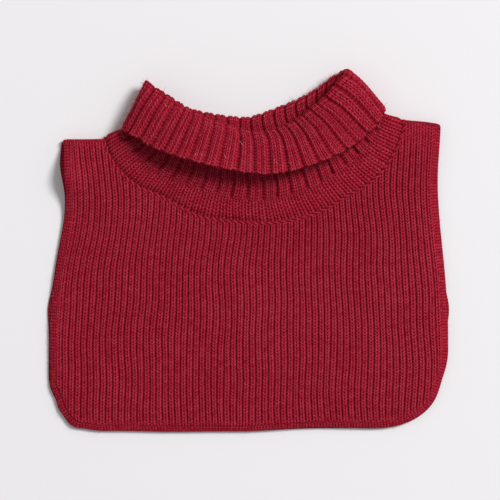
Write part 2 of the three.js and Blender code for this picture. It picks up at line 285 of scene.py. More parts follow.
def side(y, values):
    """The side of the outline at a height, with the table's corners rounded off."""
    return sum(np.interp(y + d, SIDE_Y, values) for d in (-12, -8, -4, 0, 4, 8, 12)) / 7


def rounded(centre, radius, start):
    turns = np.radians(start) + np.linspace(0, np.pi / 2, 60)
    c, s, power = np.cos(turns), np.sin(turns), CORNER_SQUARE
    full = radius / (np.abs(c) ** power + np.abs(s) ** power) ** (1 / power)
    for degrees, reach, out in CORNER_SHAPE:
        full = full + out * peak(np.degrees(turns), degrees, reach)
    return np.stack([centre[0] + full * c, centre[1] + full * s], 1)


def outline(inset):
    """Points along the outline, inset from it: left shoulder, hem, right shoulder."""
    y = np.linspace(SIDE_Y[-1], SIDE_Y[0], 80)
    left = np.stack([side(y, SIDE_LEFT) + inset, y], 1)
    right = np.stack([side(y[::-1], SIDE_RIGHT) - inset, y[::-1]], 1)
    low_left = (SIDE_LEFT[0] + CORNER_LEFT, HEM[0][1] + CORNER_LEFT)
    low_right = (SIDE_RIGHT[0] - CORNER_RIGHT, HEM[3][1] + CORNER_RIGHT)
    hem_x = np.linspace(*HEM_ENDS, 40)
    hem_y = sum(np.interp(hem_x + d, *np.array(HEM).T) for d in (-9, 0, 9)) / 3
    hem = np.stack([hem_x, hem_y + inset], 1)
    left_turn = rounded(low_left, CORNER_LEFT - inset, 180)
    right_turn = rounded(low_right, CORNER_RIGHT - inset, 270)
    return np.concatenate([left, left_turn, hem, right_turn, right])


def steps_of(points):
    """The lengths of the steps from point to point."""
    return np.linalg.norm(np.diff(points, axis=0), axis=1)


def travelled(points):
    """How far along a line of points each of them lies."""
    return np.concatenate([[0], np.cumsum(steps_of(points))])


def spread(points, shares):
    """Places at the given shares of the length of a line of points."""
    so_far = travelled(points)
    return np.stack([np.interp(shares * so_far[-1], so_far, axis) for axis in points.T], -1)


def evenly(path, count):
    """The path again, with points evenly spaced along it."""
    path = path[np.concatenate([[True], steps_of(path) > 1e-6])]
    return spread(path, np.linspace(0, 1, count))


def unit(vectors):
    return vectors / np.linalg.norm(vectors, axis=1)[:, None]


band_length = steps_of(outline(BAND_WIDTH / 2)).sum()
print("length of the edge band:", round(float(band_length)), "mm")

# %% [markdown]
# ## The rings of the collar
#
# The collar is one wall of knitting, a smooth curve through its rings. Each ring is two bowed
# curves, front and back, that meet in the side folds, with the ribs spread evenly along both.

# %% Rings and wall
CURVE_POINTS = 900  # of each half, closer together towards the folds
RING_STEPS = 2880


def half_ring(index, layer, share):
    """Points of half a ring, at shares of its length from the left fold to the right one."""
    name, left_x, left_y, right_x, right_y, rides = RINGS[index]
    low_x, low_y, _, bow_left, bow_right = LOWEST[layer][index]
    t = 0.5 - 0.5 * np.cos(np.linspace(0, np.pi, CURVE_POINTS))
    on_left = t < 0.5
    bow = np.where(on_left, bow_left, bow_right)
    fold_x = np.where(on_left, left_x, right_x)
    fold_y = np.where(on_left, left_y, right_y)
    x = low_x + (fold_x - low_x) * np.abs(np.cos(t * np.pi)) ** (2 / bow)
    y = fold_y + (low_y - fold_y) * np.abs(np.sin(t * np.pi)) ** (2 / bow)
    left_sink, right_sink = SINK_SHARE
    sunk = left_sink * peak(t, 0, SINK_REACH) + right_sink * peak(1 - t, 0, SINK_REACH)
    front = LOWEST["front"][index][2] + rides * lift("front", x, y) - SINK[index] * sunk
    back = LOWEST["back"][index][2] + rides * lift("back", x, y)
    radius = (front - back) / 2
    inside = np.minimum(np.hypot(x - fold_x, y - fold_y) / radius, 1)
    rise = radius * np.sqrt(1 - (1 - inside) ** 2)
    z = (front + back) / 2 + (rise if layer == "front" else -rise)
    for half, rings, at, reach, up, out in WAVES:
        if half == layer and name in rings.split():
            swell = peak(t, at, reach)
            y = y + up * swell
            z = z + out * swell
    return spread(np.stack([x, y, z], 1), share)


def whole_ring(index):
    shares = np.arange(RING_STEPS + 1) / RING_STEPS
    front = half_ring(index, "front", np.clip(shares * 2, 0, 1))
    back = half_ring(index, "back", np.clip(2 - shares * 2, 0, 1))
    return np.where((shares <= 0.5)[:, None], front, back)


RING_POINTS = np.array([whole_ring(k) for k in range(len(RINGS))])


def ring(index, around):
    """A ring's points at shares of the way round: 0 and 1 are the left fold, 0.5 the right."""
    at, stations = np.mod(around, 1) * RING_STEPS, np.arange(RING_STEPS + 1)
    return np.stack([np.interp(at, stations, axis) for axis in RING_POINTS[index].T], -1)


def wall(around, up):
    """The middle of the collar's cloth: up is 0 at the seam and a whole number at each ring."""
    count = len(RINGS)
    points = np.array([ring(k, around) for k in range(count)])
    steps = np.linalg.norm(np.diff(points, axis=0), axis=2)
    knots = np.concatenate([np.zeros((1, steps.shape[1])), np.cumsum(steps, axis=0)])
    slope = np.diff(points, axis=0) / steps[:, :, None]
    tangent = np.empty_like(points)
    tangent[0], tangent[-1] = slope[0], slope[-1]
    before, after = steps[:-1, :, None], steps[1:, :, None]
    tangent[1:-1] = (slope[:-1] * after + slope[1:] * before) / (before + after)
    k = np.clip(np.floor(up).astype(int), 0, count - 2)
    i = np.arange(len(around))
    f = (up - k)[:, None]
    width = (knots[k + 1, i] - knots[k, i])[:, None]
    return (
        (2 * f**3 - 3 * f**2 + 1) * points[k, i]
        + (f**3 - 2 * f**2 + f) * width * tangent[k, i]
        + (3 * f**2 - 2 * f**3) * points[k + 1, i]
        + (f**3 - f**2) * width * tangent[k + 1, i]
    )


def wall_normal(around, up):
    """Away from the neck on the standing part, and towards it on the turned-over part."""
    round_ = wall(around + 0.0015, up) - wall(around - 0.0015, up)
    last = len(RINGS) - 1
    rise = wall(around, np.minimum(up + 0.02, last)) - wall(around, np.maximum(up - 0.02, 0))
    return unit(np.cross(round_, rise))


for row, points in zip(RINGS, RING_POINTS):
    print(f"ring {row[0]}: {steps_of(points).sum():.0f} mm round")

# %% [markdown]
# ## The two bibs
#
# A bib is knitted in fine ribs from the hem to the shoulders and shaped to the neckline. Each
# rib has eight of the grid's columns: from the bottom of the groove up over one leg of the
# stitches, down into the row of little holes in the middle, and over the other leg. Rows that
# would pass the neckline or the rounded corners stop there, and welding removes what is left
# of them. The rows run in chevrons, because each stitch is a V. The cloth's far side is the
# end of the same grid, rolled round, with a column for each second rib, and narrow triangles
# close the two ends of this flat tube.

# %% Bibs
RIB_AT = np.array([0, 0.1, 0.2, 0.34, 0.5, 0.66, 0.8, 0.9])
RIB_HIGH = np.array([-1.15, -0.25, 0.3, 0.45, 0.26, 0.45, 0.3, -0.25])
STITCH_HIGH = np.array([0.0, 0.14, 0.22, 0.18, 0.06, 0.18, 0.22, 0.14])
PLAIN_RIB_HIGH = np.array([-0.12, 0.05, 0.14, 0.1, -0.12, 0.1, 0.14, 0.05])
CHEVRON = 0.9  # how far a V's arms rise, in courses
RIB_COLUMNS = len(RIB_AT)
PANEL_LOW = -122.8
PANEL_TALL = 213.3
UNDER_BAND = 1.2  # how far the bib runs into its band
NECK_CLEAR = 0.7
TOP_COLUMNS = PANEL_RIBS * RIB_COLUMNS
UNDER_COLUMNS = PANEL_RIBS // 2


def neck_line(layer, clear):
    """The panel's neckline as x and y, running from left to right, clear of the seam."""
    points = half_ring(0, layer, np.linspace(0, 1, 400))[:, :2]
    along = unit(np.gradient(points, axis=0))
    return points + clear * np.stack([along[:, 1], -along[:, 0]], 1)


def shoulder_y(x):
    """Where the bibs end at the top, under the shoulder rolls."""
    ends = sorted(place for shoulder in SHOULDERS.values() for place in shoulder.values())
    end_x, end_y = np.array(ends).T
    return np.interp(x, end_x, end_y - 1.5)


def shows(name, y):
    """How far the back bib's side stands out past the front's."""
    rows = [row[1:] for row in BACK_SHOWS if row[0] == name]
    return sum(far * peak(y, at, reach) for at, reach, far in rows)


def end_triangles():
    """Triangles between the near and the far columns, which close a bib's end rows."""
    last = TOP_COLUMNS + 1 + UNDER_COLUMNS
    span = TOP_COLUMNS // UNDER_COLUMNS
    triangles = []
    for k in range(UNDER_COLUMNS):
        far, next_far, middle = last - k, last - k - 1, k * span + span // 2
        triangles.append((middle, far, next_far))
        triangles += [(c, c + 1, far) for c in range(k * span, middle)]
        triangles += [(c, c + 1, next_far) for c in range(middle, (k + 1) * span)]
    return triangles


def make_panel(layer):
    inset = BAND_WIDTH - UNDER_BAND
    shift = BACK_SHIFT if layer == "back" else 0
    facing = 1 if layer == "front" else -1
    neck = neck_line(layer, NECK_CLEAR)
    lower = outline(inset)
    lower = lower[lower[:, 1] < SIDE_Y[0] - 5]
    lower = lower[np.argsort(lower[:, 0], kind="stable")]
    bend, swell = wander(6, 1.2, 4.0), wander(6, 0.8, 3.0)
    lean = RANDOM.normal(0, 1, PANEL_RIBS)
    tall = RANDOM.normal(0, 0.08, PANEL_RIBS)
    courses = int(PANEL_TALL / COURSE)
    uneven = RANDOM.normal(0, 0.06, (PANEL_RIBS, courses + 1))
    kinks = wander(8, 1.0, 4.0)
    rows = courses * 2
    columns = TOP_COLUMNS + 1 + UNDER_COLUMNS

    def ribs_of(column):
        # The last column is the first one again, so that the grid closes to a tube.
        column = np.where(column == columns, 0, column)
        on_top = column <= TOP_COLUMNS
        under = np.clip((columns - column) * PANEL_RIBS / UNDER_COLUMNS, 0, PANEL_RIBS)
        part = column % RIB_COLUMNS
        rib = np.where(on_top, column // RIB_COLUMNS + RIB_AT[part], under)
        return on_top, part, rib

    def lie(column, row):
        on_top, part, rib = ribs_of(column)
        half = 2 * np.abs(np.mod(rib, 1) - 0.5)
        y = PANEL_LOW + (row / 2 + CHEVRON * half * on_top) * COURSE

        def across(y):
            share = rib / PANEL_RIBS
            left, right = side(y, SIDE_LEFT) + inset, side(y, SIDE_RIGHT) - inset
            if layer == "back":
                left, right = left - shows("left", y), right + shows("right", y)
            lean_here = np.interp(rib, np.arange(PANEL_RIBS) + 0.5, lean) * 0.2
            drift = 0.5 * bend(rib / 9, y / 22) + lean_here * np.sin(y / 17 + rib)
            drift = drift + 0.12 * kinks(rib / 2.5, y / 12)
            # The ribs beside the left end of the neckline crowd to the left.
            drift = drift - 2.4 * smooth(y, 30, 80) * peak(share, 0.1, 0.08)
            drift = drift * smooth(share, 0, 0.03) * smooth(1 - share, 0, 0.03)
            return left + (right - left) * share + drift

        x = across(y)
        for _ in range(14):
            low = np.interp(x, lower[:, 0], lower[:, 1])
            in_neck = (x > neck[0, 0]) & (x < neck[-1, 0])
            high = np.where(in_neck, np.interp(x, neck[:, 0], neck[:, 1]), shoulder_y(x))
            kept = np.clip(y, low, high)
            x = across(kept)
        # The ribs fade out towards the shoulders, the neckline, the sides and the hem.
        from_top = shoulder_y(x) - kept
        near_shoulder = np.where(x < 0, smooth(from_top, 1, 8), smooth(from_top, 5, 24))
        near_neck = np.where(in_neck, smooth(high - kept, -0.5, 2), 1)
        near_side = smooth(np.minimum(rib, PANEL_RIBS - rib), -1.2, 3.2)
        near_hem = smooth(kept - low, -0.5, 4)
        fade = (0.04 + 0.96 * near_shoulder) * (0.6 + 0.4 * near_neck)
        fade = fade * (0.3 + 0.7 * near_side) * (0.05 + 0.95 * near_hem)
        which = np.clip(rib.astype(int), 0, PANEL_RIBS - 1)
        free = kept == y
        phase = in_turn(row) * free
        chance = uneven[which, np.minimum(row // 2, courses)] * free
        high = (RIB_HIGH[part] + tall[which] + chance) * fade
        high = high + PLAIN_RIB_HIGH[part] * (1 - fade)
        stitch = STITCH_HIGH[part] * phase * (0.4 + 0.6 * fade)
        to_side = np.minimum(x - side(kept, SIDE_LEFT), side(kept, SIDE_RIGHT) - x) - inset
        sunk = SETTLE[layer] * (1 - smooth(np.minimum(to_side, kept - low), -1, 12))
        stitch = stitch - 0.7 * (1 - smooth(from_top, -0.3, 2.6))
        return on_top, x, kept, high, stitch - sunk, -sunk

    def place(column, row):
        on_top, x, y, high, stitch, sunk = lie(column, row)
        under = -PANEL_CLOTH / 2 - 0.1 + sunk
        rest = LAYER_Z[layer] + lift(layer, x, y)
        rest = rest + 0.22 * swell(x / 30, y / 30) * (facing > 0)
        z = rest + facing * np.where(on_top, PANEL_CLOTH / 2 + high + stitch, under)
        return np.stack([x + shift, y, z], 1)

    def stitches(column, row):
        on_top, part, rib = ribs_of(column)
        _, _, _, high, _, _ = lie(column, row)
        across = np.where(on_top, rib, 2 * PANEL_RIBS - rib)
        # The last value, how high the yarn stands, gives painted shade in the grooves.
        return across, row / 2, np.where(on_top, (high + 1.2) / 1.65, 0.9)

    panel = knitted(f"{layer}_bib", columns, rows, place, stitches, ends=end_triangles())
    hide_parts(f"{layer}_panel")
    return panel


front_bib = make_panel("front")
back_bib = make_panel("back")

# %% [markdown]
# ## The ribbed collar
#
# The collar's broad ribs, two stitches wide, stand out on one face of the cloth where they
# sink in on the other. So the same columns carry a rib on the outside of the standing part and
# a groove on the inside, and after the fold at the crest the inside face is the one that
# shows. The grid is a ring both ways: round the neck, and up one face of the wall, over the
# free edge and down the other. Rows are close together only where they can be seen.

# %% Ribbed collar
HALF_REPEAT = 8  # columns from the middle of a rib to the middle of a groove
RIB_SPREAD = np.array([0, 0.24, 0.6, 1.0, 1.38, 1.6, 1.74, 1.87, 2])
BROAD_HIGH = np.array([-0.5, 0.35, 0.5, 0.5, 0.3, -0.4, -1.1, -1.4, -1.4])
BROAD_STITCH = np.array([0.1, 0.24, 0.34, 0.26, 0.24, 0.14, 0.12, 0.1, 0.1])
EDGE_UP = len(RINGS) - 1
# The turned-over ribs lean: by how many ribs, near the crest and near the free edge.
LEAN_AT = [0, 1.2, 3.5, 6, 8, 10, 12, 14, 16, 18, 20.2, 21]
LEAN_CREST = [0, 0.22, 0.25, -0.1, -0.1, 0.15, 0.27, 0.15, -0.3, -0.6, -0.19, 0]
LEAN_EDGE = [0, -0.15, -0.3, -0.55, -0.53, -0.15, 0.05, 0.24, 0.1, -0.02, -0.14, 0]


def section_rows():
    """The rows of the collar's section: how far up the wall, and on which face."""
    runs = [
        (1, 1.0, 2.0, 8),
        (1, 2.0, 2.7, 13),
        (1, 2.7, 4.0, 6),
        (1, 4.0, 6.0, 4),
        (1, 6.0, 7.0, 8),
        (1, 7.0, 7.0, 1),
        (0, 7.0, 7.0, 1),
        (-1, 7.0, 6.0, 23),
        (-1, 6.0, 5.0, 4),
        (-1, 5.0, 4.0, 4),
        (-1, 4.0, 3.0, 14),
        (-1, 3.0, 1.0, 6),
        (-1, 1.0, 1.0, 1),
    ]
    found = []
    for face, start, end, count in runs:
        found += [(face, start + (end - start) * k / count) for k in range(count)]
    return np.array(found)


def around_of(ribs, up):
    """Share of the way round of a place counted in ribs from the left fold."""
    turns = np.floor(ribs / COLLAR_RIBS)
    ribs = ribs - turns * COLLAR_RIBS
    crest, edge = (np.interp(ribs, LEAN_AT, table) for table in (LEAN_CREST, LEAN_EDGE))
    towards_edge = np.clip((up - 6.1) / 0.65, -0.2, 1.4)
    lean = (crest + (edge - crest) * towards_edge) * smooth(up, 3, 5.6)
    return turns + np.interp(ribs + lean, [0, FRONT_RIBS, COLLAR_RIBS], [0, 0.5, 1])


def make_collar():
    section = section_rows()
    count = len(section)
    per_rib = 2 * HALF_REPEAT
    columns = COLLAR_RIBS * per_rib
    bend, swell = wander(6, 1.0, 4.0), wander(5, 1.0, 3.0)
    broad = RANDOM.normal(0, 0.08, COLLAR_RIBS)
    tall = RANDOM.normal(0, 0.07, COLLAR_RIBS)
    ragged = RANDOM.normal(0, 0.013, columns)
    courses = travelled(wall(np.full(count, 0.26), section[:, 1])) / COURSE

    def phase_of(column, face):
        """Columns from the middle of the rib that this face shows, and the rib's number."""
        offset = np.where(face >= 0, HALF_REPEAT // 2, HALF_REPEAT + HALF_REPEAT // 2)
        from_middle = np.mod(column - offset + HALF_REPEAT, per_rib) - HALF_REPEAT
        return from_middle, (column - offset - from_middle) / per_rib

    def place(column, row):
        column, row = np.mod(column, columns), np.mod(row, count)
        face, up = section[row].T
        j, rib = phase_of(column, face)
        k = np.abs(j)
        offset = np.where(face >= 0, 0.25, 0.75)
        which = np.mod(np.rint(rib).astype(int), COLLAR_RIBS)
        aside = np.sign(j) * RIB_SPREAD[k] / 4 * (1 + broad[which] * (k < 5))
        around = around_of(rib + offset + aside, up)
        share = TURN * around
        around = around + 0.0011 * bend(4 * np.cos(share) + 0.2 * up, 4 * np.sin(share))
        arm = np.abs(np.minimum(k, 4) - 2) / 2
        chevron = 0.8 * arm * COURSE * np.where(up < 4, 0.055, 0.041) * (up < 7)
        raised = smooth(1.5 - RIB_SPREAD[k], 0, 0.4)
        loop = 0.016 * (k % 4 == 2) + ragged[column]
        scallop = np.where(up >= 7, 0.03 * raised - 0.012 + loop, 0)
        there = np.clip(up + chevron * (up > 1.02), 1, 7 - 0.02 * (up < 7)) + scallop
        centre = wall(around, there)
        normal = wall_normal(around, np.minimum(there, EDGE_UP))
        ribbed = smooth(up, 0.9, 1.2) * (1 - 0.4 * peak(up, 5, 0.5))
        flatter = smooth(rib, 13, 17) * smooth(22 - rib, 0, 2)
        ribbed = ribbed * np.where(face > 0, 0.9, 0.88 - 0.34 * flatter)
        stitch = in_turn(row) * BROAD_STITCH[k]
        high = ribbed * (BROAD_HIGH[k] + tall[which] * (k < 5)) + stitch * (0.4 + 0.6 * ribbed)
        tucked = 0.55 * smooth(1.12 - up, 0, 0.12)
        offset = (COLLAR_CLOTH / 2 + high - tucked) * (1 - 0.25 * smooth(up, 6.93, 7.0))
        slow = 0.25 * swell(up * 0.8, 3 * np.cos(share) + 2 * np.sin(share)) * (up > 1.5)
        return centre + normal * (np.sign(face) * offset + slow)[:, None]

    def stitches(column, row):
        face, up = section[np.mod(row, count)].T
        j, rib = phase_of(column, face)
        # The grooves between the broad ribs get painted shade in the wool from this value.
        height_for_shade = 1 - smooth(up, 0.9, 1.35) * (0.55 - BROAD_HIGH[np.abs(j)]) / 1.85
        return 4 * rib + j / 4, courses[np.minimum(row, count - 1)] + (row == count), height_for_shade

    piece = knitted("ribbed_collar", columns, count, place, stitches)
    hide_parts("collar")
    return piece


ribbed_collar = make_collar()

# %% [markdown]
# ## The plain ring under the collar
#
# Between the seam and the ribs there is a ring in plain stitch, which looks like columns of
# small Vs: a grid again, round the neck and round the cloth's own thickness.

# %% Plain ring
BASE_WALES = 108
PLAIN_AT = np.array([0, 0.13, 0.27, 0.5, 0.73, 0.87])
PLAIN_HIGH = np.array([-0.4, 0.05, 0.3, -0.32, 0.3, 0.05])
PLAIN_STITCH = np.array([0.1, 0.12, 0.15, 0.15, 0.15, 0.12])


def make_base():
    parts = len(PLAIN_AT)
    columns = BASE_WALES * parts
    outer = [(1, u) for u in np.linspace(0.0, 1.1, 16)]
    inner = [(-1, u) for u in np.linspace(1.1, 0.0, 4)]
    section = np.array(outer + inner)
    count = len(section)
    bend = wander(6, 1.0, 4.0)
    tall = RANDOM.normal(0, 0.16, BASE_WALES)

    def place(column, row):
        column, row = np.mod(column, columns), np.mod(row, count)
        face, up = section[row].T
        part = column % parts
        around = (column // parts + PLAIN_AT[part]) / BASE_WALES
        share = TURN * around
        around = around + 0.0009 * bend(5 * np.cos(share), 5 * np.sin(share) + up)
        arm = 2 * np.abs(PLAIN_AT[part] - 0.5)
        there = np.clip(up + 0.11 * arm * (up < 1.02) * (up > 0.05), 0, 1.12)
        stitch = in_turn(row) * PLAIN_STITCH[part]
        high = (PLAIN_HIGH[part] + stitch + tall[column // parts]) * (face > 0)
        rolled = 0.6 * smooth(up, 0.95, 1.1) + 1.3 * smooth(-up, -0.22, -0.06) * (face > 0)
        offset = COLLAR_CLOTH / 2 + high - rolled
        return wall(around, there) + wall_normal(around, there) * (face * offset)[:, None]

    def stitches(column, row):
        part, face = column % parts, section[np.mod(row, count), 0]
        # Low yarn between the wales gets painted shade in the wool from this value.
        height_for_shade = np.where(face > 0, (PLAIN_HIGH[part] + 0.6) / 0.9, 0.9)
        return column // parts + PLAIN_AT[part], row / 2, height_for_shade

    piece = knitted("plain_ring", columns, count, place, stitches)
    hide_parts("collar")
    return piece


plain_ring = make_base()

# %% [markdown]
# ## The linked seam
#
# The seam round the neckline shows as a thin cord of slanting loops: its section is two lobes,
# turned a little at every station.

# %% Linked seam
SEAM_LOOPS = 112
LOOP_STEPS = 8
SEAM_ROUND = 12
SEAM_HALF_WIDTH = 1.25
SEAM_HALF_DEPTH = 1.7


def make_seam():
    columns = SEAM_LOOPS * LOOP_STEPS

    def lobe(column, turn):
        """1 on the back of a strand and 0 between two strands, which the wool darkens as
        painted shade.
        """
        return np.abs(np.cos(turn - np.pi * column / LOOP_STEPS)) ** 0.8

    def place(column, row):
        column, row = np.mod(column, columns), np.mod(row, SEAM_ROUND)
        around = column / columns
        at = ring(0, around)
        normal = wall_normal(around, np.zeros(len(around)))
        up = ring(1, around) - at
        sideways = unit(up - normal * (up * normal).sum(1)[:, None])
        turn = TURN * row / SEAM_ROUND
        to_fold = np.minimum(np.mod(around, 0.5), 0.5 - np.mod(around, 0.5))
        size = (0.5 + 0.5 * lobe(column, turn)) * (0.6 + 0.4 * smooth(to_fold, 0, 0.02))
        return (
            at
            + sideways * (SEAM_HALF_WIDTH * size * np.cos(turn))[:, None]
            + normal * (SEAM_HALF_DEPTH * size * np.sin(turn))[:, None]
        )

    def stitches(column, row):
        turn = TURN * np.mod(row, SEAM_ROUND) / SEAM_ROUND
        return 0.27 + 0 * row, 0.5 + 0 * column, lobe(column, turn)

    piece = knitted("linked_seam", columns, SEAM_ROUND, place, stitches)
    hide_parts("neck_seam")
    return piece


linked_seam = make_seam()

# %% [markdown]
# ## Plain bands and shoulder rolls
#
# The bibs' sides and hem end in a plain knitted band, and the shoulders in a thin rolled seam.
# Both are a grid whose rows go round a section and whose columns follow a path.

# %% Bands and rolls
BAND_ROUND = 18


def along_path(name, path, half_width, levels, square_side, relief, stitch_map):
    """A closed roll along a path in the plane, round on one side and squarer on the other."""
    columns = len(path) - 1
    along = unit(np.gradient(path, axis=0))
    out = np.stack([along[:, 1], -along[:, 0]], 1)
    wave = wander(6, 0.8, 3.0)

    def place(column, row):
        turn = TURN * np.mod(row, BAND_ROUND) / BAND_ROUND
        c, s = np.cos(turn), np.sin(turn)
        square = np.where(c * square_side > 0, 9, 2.3)
        full = 1 / (np.abs(c) ** square + np.abs(s) ** square) ** (1 / square)
        loop = relief(column, row)
        uneven = 0.2 * wave(column / 22, row * 0)
        across = (half_width + uneven + loop * 0.5) * full * c
        flat = path[column] + out[column] * across[:, None]
        low, high = levels(flat[:, 0], flat[:, 1], across / half_width)
        depth = (high - low) / 2 + loop * (s > 0)
        return np.concatenate([flat, ((low + high) / 2 + depth * full * s)[:, None]], 1)

    piece = knitted(name, columns, BAND_ROUND, place, stitch_map, caps=True)
    return piece


BAND_STATIONS = 616
BAND_WALES = 7


def make_band(layer):
    middle = outline(BAND_WIDTH / 2)
    left_end, right_end = (SHOULDERS[s]["outer"][1] - 0.9 for s in ("left", "right"))
    ends = np.where(middle[:, 0] < 0, left_end, right_end)
    path = evenly(middle[middle[:, 1] < ends], BAND_STATIONS + 1)
    if layer == "back":
        x, y = path.T
        path[:, 0] += BACK_SHIFT + np.where(x < 0, -shows("left", y), shows("right", y))

    def levels(x, y, outward):
        middle_z = LAYER_Z[layer] + lift(layer, x, y)
        out = smooth(outward, -1.2, 1)
        if layer == "front":
            under, over = 0.4 * SETTLE[layer] + 1.2 * out, SETTLE[layer] + 1.9 * out
        else:
            under, over = 0, 1.5 * out
        over = over + 0.1 + 0.5 * smooth(-outward, 0.2, 1)
        return middle_z - PANEL_DEPTH / 2 - under, middle_z + PANEL_DEPTH / 2 - over

    def relief(column, row):
        return 0.09 * in_turn(column + row)

    def stitch_map(column, row):
        return BAND_WALES * row / BAND_ROUND, column / 2, 0.8 + 0 * column

    name = f"{layer}_band"
    piece = along_path(name, path, BAND_WIDTH / 2, levels, -1, relief, stitch_map)
    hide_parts(f"{layer}_edge_band")
    return piece


ROLL_WALE = 2.0
ROLL_PARTS = 4
ROLL_HALF = 1.7
ROLL_PAST_SEAM = {"left": (2.2, 0), "right": (-6, 0.7)}


def make_roll(name):
    outer, inner = (np.array(SHOULDERS[name][end]) for end in ("outer", "inner"))
    ends = [outer, inner + ROLL_PAST_SEAM[name]]
    if name == "right":
        ends.reverse()
    stations = int(round((ends[1][0] - ends[0][0]) / ROLL_WALE)) * ROLL_PARTS
    path = np.linspace(*ends, stations + 1)
    path[:, 1] -= ROLL_HALF - 0.1

    def levels(x, y, outward):
        low = BACK_Z - PANEL_DEPTH / 2 + lift("back", x, y)
        high = FRONT_Z + PANEL_DEPTH / 2 + lift("front", x, y)
        near_seam = 0.7 * peak(x, inner[0], 5)
        under_bib = smooth(outward, -0.5, 0.2)
        return low + 0.9 * under_bib, high - 0.7 - 0.9 * under_bib + near_seam

    def relief(column, row):
        legs = np.array([-0.16, 0.06, -0.06, 0.06])[column % ROLL_PARTS]
        from_end = np.abs(path[column, 0] - outer[0])
        return legs - 1.6 * (1 - np.sqrt(np.clip(from_end / 3, 0, 1)))

    def stitch_map(column, row):
        # The dip between the roll's wales gets painted shade in the wool.
        return column / ROLL_PARTS, row / 2, 0.75 + 0.25 * (column % ROLL_PARTS > 0)

    piece = along_path(f"{name}_shoulder", path, ROLL_HALF, levels, 1, relief, stitch_map)
    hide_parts(f"shoulder_roll_{name}")
    return piece


front_band = make_band("front")
back_band = make_band("back")
left_shoulder = make_roll("left")
right_shoulder = make_roll("right")

# %% [markdown]
# ## Loose fibres
#
# Fine hairs stand off wool, most of all along its outline, a few longer ones stray, and pale
# bits of lint lie on the collar. Each hair is a thin three-sided cone, bent, and all of one
# kind are one mesh. Most start at random places of the surfaces made above.

# %% Loose fibres
HAIR_SIDES = 3
HAIR_CUTS = 3
HAIR_BEND = 0.5
OUTLINE_REACH = 1.2
LINT_REACH = 1.3


def strands(name, starts, ways, lengths, radius):
    """Many thin bent hairs in one mesh: starts and ways in mm, an array row for each hair."""
    bm = bmesh.new()
    bmesh.ops.create_cone(
        bm, cap_ends=True, segments=HAIR_SIDES, radius1=1, radius2=0.35, depth=1
    )
    standing = [e for e in bm.edges if abs(e.verts[0].co.z - e.verts[1].co.z) > 0.5]
    bmesh.ops.subdivide_edges(bm, edges=standing, cuts=HAIR_CUTS)
    template = np.array([v.co for v in bm.verts])
    faces = [[v.index for v in f.verts] for f in bm.faces]
    bm.free()
    count = len(starts)
    aside = unit(np.cross(ways, RANDOM.normal(0, 1, (count, 3))))
    third = np.cross(ways, aside)
    t = (template[:, 2] + 0.5)[None, :, None]
    bow = (HAIR_BEND * RANDOM.uniform(-1, 1, count) * lengths)[:, None, None]
    points = starts[:, None] + ways[:, None] * t * lengths[:, None, None]
    points = points + aside[:, None] * bow * t * t + third[:, None] * bow * 0.6 * t * (1 - t)
    points = points + radius * aside[:, None] * template[None, :, :1]
    points = points + radius * third[:, None] * template[None, :, 1:2]
    points[..., 2] = np.maximum(points[..., 2], radius)
    mesh = bpy.data.meshes.new(name)
    every = [[v + k * len(template) for v in face] for k in range(count) for face in faces]
    mesh.from_pydata((points.reshape(-1, 3) * MM).tolist(), [], every)
    piece = in_scene(name, mesh)
    print(f"{name}: {count} hairs, {len(every)} faces")
    return piece


def surface_of(piece):
    """Middle, outward direction and area of a piece's faces, in mm."""
    mesh = piece.data
    middle, normal = np.empty((2, len(mesh.polygons) * 3), np.float32)
    area = np.empty(len(mesh.polygons), np.float32)
    mesh.polygons.foreach_get("center", middle)
    mesh.polygons.foreach_get("normal", normal)
    mesh.polygons.foreach_get("area", area)
    return middle.reshape(-1, 3) / MM, normal.reshape(-1, 3), area


def hairs_on(piece, count, rise, keep):
    """Random starts and ways on the faces that keep() picks; rise is how far they stand up."""
    middle, normal, area = surface_of(piece)
    chance = area * keep(middle[:, 0], middle[:, 1], normal[:, 2])
    picked = RANDOM.choice(len(area), count, p=chance / chance.sum())
    way = RANDOM.normal(0, 1, (count, 3))
    way = way - normal[picked] * (way * normal[picked]).sum(1)[:, None]
    return middle[picked], unit(unit(way) + normal[picked] * rise)


def seen(x, y, upward):
    return upward > 0.3


def outermost(along, outward):
    """Faces close to the outline, looked for in each millimetre along it."""
    place = np.floor(along).astype(int)
    place -= place.min()
    far = np.full(place.max() + 1, -1000.0)
    np.maximum.at(far, place, outward)
    return outward > far[place] - OUTLINE_REACH


def left_fold(x, y, _):
    return (y > 78) * (x < -60) * outermost(y, -x)


def back_crest(x, y, _):
    return (x > 30) * (x < 62) * outermost(x, y)


def left_side(x, y, _):
    return (y < -15) * (x < 0) * outermost(y, -x)


def hem(x, y, _):
    return outermost(x, -y)


# piece, hairs, rise, where
HAIRS = [
    (front_bib, 1500, 0.25, seen),
    (ribbed_collar, 1100, 0.3, seen),
    (plain_ring, 250, 0.25, seen),
    (front_band, 200, 0.6, seen),
]
HALO_HAIRS = [
    (ribbed_collar, 420, 1.4, left_fold),
    (ribbed_collar, 160, 1.4, back_crest),
    (front_band, 160, 1.4, left_side),
    (front_band, 70, 1.2, hem),
]


def grown(name, table, shortest, longest, radius):
    starts, ways = (np.concatenate(parts) for parts in zip(*[hairs_on(*row) for row in table]))
    lengths = RANDOM.uniform(shortest, longest, len(starts))
    return strands(name, starts, ways, lengths, radius)


surface_fibres = grown("surface_fibres", HAIRS, 1.2, 3.4, 0.06)
halo_fibres = grown("halo_fibres", HALO_HAIRS, 1.8, 4.6, 0.05)

# x, y, direction in degrees, length
LINT = [
    (-65.5, 69, 70, 1.6),
    (-56, 98, 120, 1.8),
    (-36, 64.3, 40, 2.2),
    (-30, 64.4, 125, 2.6),
    (-25.5, 58.5, 30, 1.4),
    (-40, 57.2, 100, 1.4),
    (-13.8, 62.8, 130, 2.4),
    (-5, 71.6, 115, 3.2),
    (-34, 77.2, 60, 1.4),
    (27, 59, 140, 1.6),
    (9.5, 91, 20, 1.2),
    (16.5, 60.6, 80, 1.2),
]


